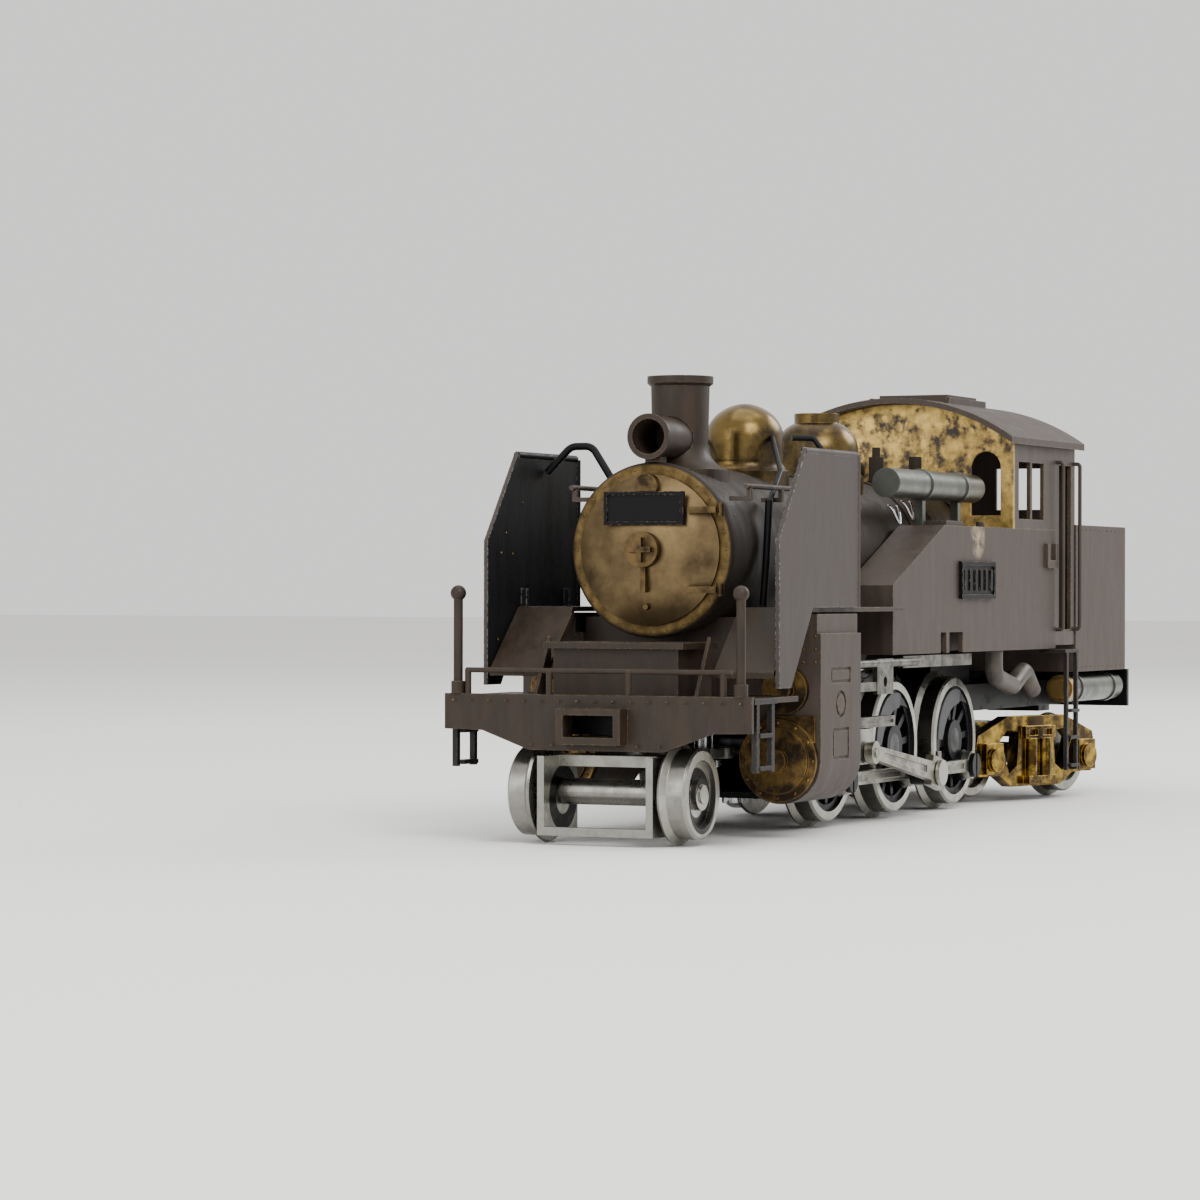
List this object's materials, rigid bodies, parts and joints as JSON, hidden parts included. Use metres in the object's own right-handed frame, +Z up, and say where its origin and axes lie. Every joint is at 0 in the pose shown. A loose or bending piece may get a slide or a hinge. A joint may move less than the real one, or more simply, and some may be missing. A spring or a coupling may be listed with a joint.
{
  "type": "model steam locomotive",
  "caption": "Brass model tank locomotive with powered chassis, coupled side and main rods, sliding crossheads, swinging pony truck and swivelling bogie.",
  "frame": {"origin": "under the middle of the model, level with the lowest points of the wheel flanges; the rail top is 0.7 mm higher", "axes": "+X towards the smokebox (front), +Y to the engine's left, +Z up"},
  "size_m": [0.1419, 0.0356, 0.0519],
  "materials": {
    "weathered_paint": "worn satin brown-grey paint over brass",
    "black_paint": "satin black",
    "nickel_silver": "turned, lightly tarnished",
    "bare_brass": "tarnished, handled bright on the edges",
    "polished_brass": "polished lost-wax casting",
    "steel": "plated",
    "plate_black": "blank plate, black with a bare raised rim",
    "bronze": "sintered bearing bronze",
    "motor_can": "plated motor can",
    "worm_wheel": "acetal",
    "lead": "cast ballast"
  },
  "bodies": {
    "root": {"air_reservoirs": "weathered_paint", "axle_bearings": "bronze", "backhead": "weathered_paint", "boiler_fittings": "weathered_paint", "boiler_pipes": "weathered_paint", "boiler_shell": "weathered_paint", "boiler_weight": "lead", "bunker": "weathered_paint", "cab_body": "weathered_paint", "cab_roof": "weathered_paint", "chimney": "weathered_paint", "cylinder_block": "weathered_paint", "cylinder_covers": "bare_brass", "door_fittings": "weathered_paint", "fixing_screws": "steel", "footsteps": "weathered_paint", "front_beam": "weathered_paint", "front_deck": "weathered_paint", "front_rails": "weathered_paint", "handrails": "weathered_paint", "headlight": "weathered_paint", "injector_pipes": "weathered_paint", "keeper_plate": "black_paint", "main_frame": "black_paint", "motor_case": "motor_can", "number_plates": "plate_black", "rear_beam": "black_paint", "running_boards": "weathered_paint", "sand_dome": "weathered_paint", "side_tank_left": "weathered_paint", "side_tank_right": "weathered_paint", "slide_bars": "nickel_silver", "smoke_deflectors": "weathered_paint", "smokebox_door": "weathered_paint", "smokebox_front": "weathered_paint", "steam_dome": "weathered_paint", "valve_gear": "nickel_silver"},
    "driver_1": {"driver_1_tyres": "nickel_silver", "driver_1_centres": "black_paint", "driver_1_axle": "steel"},
    "driver_2": {"driver_2_tyres": "nickel_silver", "driver_2_centres": "black_paint", "driver_2_axle": "steel"},
    "driver_3": {"driver_3_tyres": "nickel_silver", "driver_3_centres": "black_paint", "driver_3_axle": "steel", "worm_gear": "worm_wheel"},
    "side_rod_left": {"side_rod_left": "nickel_silver"},
    "side_rod_right": {"side_rod_right": "nickel_silver"},
    "main_rod_left": {"main_rod_left": "nickel_silver"},
    "main_rod_right": {"main_rod_right": "nickel_silver"},
    "crosshead_left": {"crosshead_left": "nickel_silver"},
    "crosshead_right": {"crosshead_right": "nickel_silver"},
    "worm_shaft": {"motor_shaft": "steel", "worm": "steel"},
    "pony_truck": {"pony_frame": "nickel_silver"},
    "pony_wheelset": {"pony_wheelset": "nickel_silver"},
    "bogie": {"bogie_frame": "polished_brass"},
    "bogie_wheelset_1": {"bogie_wheelset_1": "nickel_silver"},
    "bogie_wheelset_2": {"bogie_wheelset_2": "nickel_silver"}
  },
  "joints": [
    {"name": "driver_2_spin", "type": "hinge", "parent": "root", "child": "driver_2", "pos_m": [0.007, 0, 0.00855], "axis": [0, 1, 0], "continuous": true},
    {"name": "driver_1_spin", "type": "hinge", "parent": "root", "child": "driver_1", "pos_m": [0.02806, 0, 0.00855], "axis": [0, 1, 0], "continuous": true},
    {"name": "driver_3_spin", "type": "hinge", "parent": "root", "child": "driver_3", "pos_m": [-0.01406, 0, 0.00855], "axis": [0, 1, 0], "continuous": true},
    {"name": "worm_spin", "type": "hinge", "parent": "root", "child": "worm_shaft", "pos_m": [-0.02, 0, 0.01545], "axis": [1, 0, 0], "continuous": true},
    {"name": "side_rod_left_pivot", "type": "hinge", "parent": "driver_2", "child": "side_rod_left", "pos_m": [0.00471, 0.0113, 0.00539], "axis": [0, 1, 0], "continuous": true},
    {"name": "main_rod_left_pivot", "type": "hinge", "parent": "driver_2", "child": "main_rod_left", "pos_m": [0.00471, 0.0145, 0.00539], "axis": [0, 1, 0], "continuous": true},
    {"name": "crosshead_left_slide", "type": "slide", "parent": "root", "child": "crosshead_left", "axis": [1, 0, 0], "range_m": [-0.00137, 0.00643]},
    {"name": "side_rod_right_pivot", "type": "hinge", "parent": "driver_2", "child": "side_rod_right", "pos_m": [0.00384, -0.0113, 0.01084], "axis": [0, 1, 0], "continuous": true},
    {"name": "main_rod_right_pivot", "type": "hinge", "parent": "driver_2", "child": "main_rod_right", "pos_m": [0.00384, -0.0145, 0.01084], "axis": [0, 1, 0], "continuous": true},
    {"name": "crosshead_right_slide", "type": "slide", "parent": "root", "child": "crosshead_right", "axis": [1, 0, 0], "range_m": [-0.00062, 0.00718]},
    {"name": "pony_swing", "type": "hinge", "parent": "root", "child": "pony_truck", "pos_m": [0.04, 0, 0.009], "axis": [0, 0, 1], "range_deg": [-5, 5]},
    {"name": "pony_wheel_spin", "type": "hinge", "parent": "pony_truck", "child": "pony_wheelset", "pos_m": [0.0644, 0, 0.0055], "axis": [0, 1, 0], "continuous": true},
    {"name": "bogie_swivel", "type": "hinge", "parent": "root", "child": "bogie", "pos_m": [-0.0422, 0, 0.009], "axis": [0, 0, 1], "range_deg": [-1, 25]},
    {"name": "bogie_wheel_1_spin", "type": "hinge", "parent": "bogie", "child": "bogie_wheelset_1", "pos_m": [-0.03186, -0.00277, 0.0055], "axis": [0.2588, 0.9659, 0], "continuous": true},
    {"name": "bogie_wheel_2_spin", "type": "hinge", "parent": "bogie", "child": "bogie_wheelset_2", "pos_m": [-0.05254, 0.00277, 0.0055], "axis": [0.2588, 0.9659, 0], "continuous": true}
  ],
  "couplings": [
    {"joint": "driver_1_spin", "follows": "driver_2_spin", "ratio": 1},
    {"joint": "driver_3_spin", "follows": "driver_2_spin", "ratio": 1},
    {"joint": "worm_spin", "follows": "driver_2_spin", "ratio": 20},
    {"joint": "side_rod_left_pivot", "follows": "driver_2_spin", "ratio": -1},
    {"joint": "main_rod_left_pivot", "follows": "driver_2_spin", "ratio": -1},
    {"joint": "side_rod_right_pivot", "follows": "driver_2_spin", "ratio": -1},
    {"joint": "main_rod_right_pivot", "follows": "driver_2_spin", "ratio": -1}
  ]
}
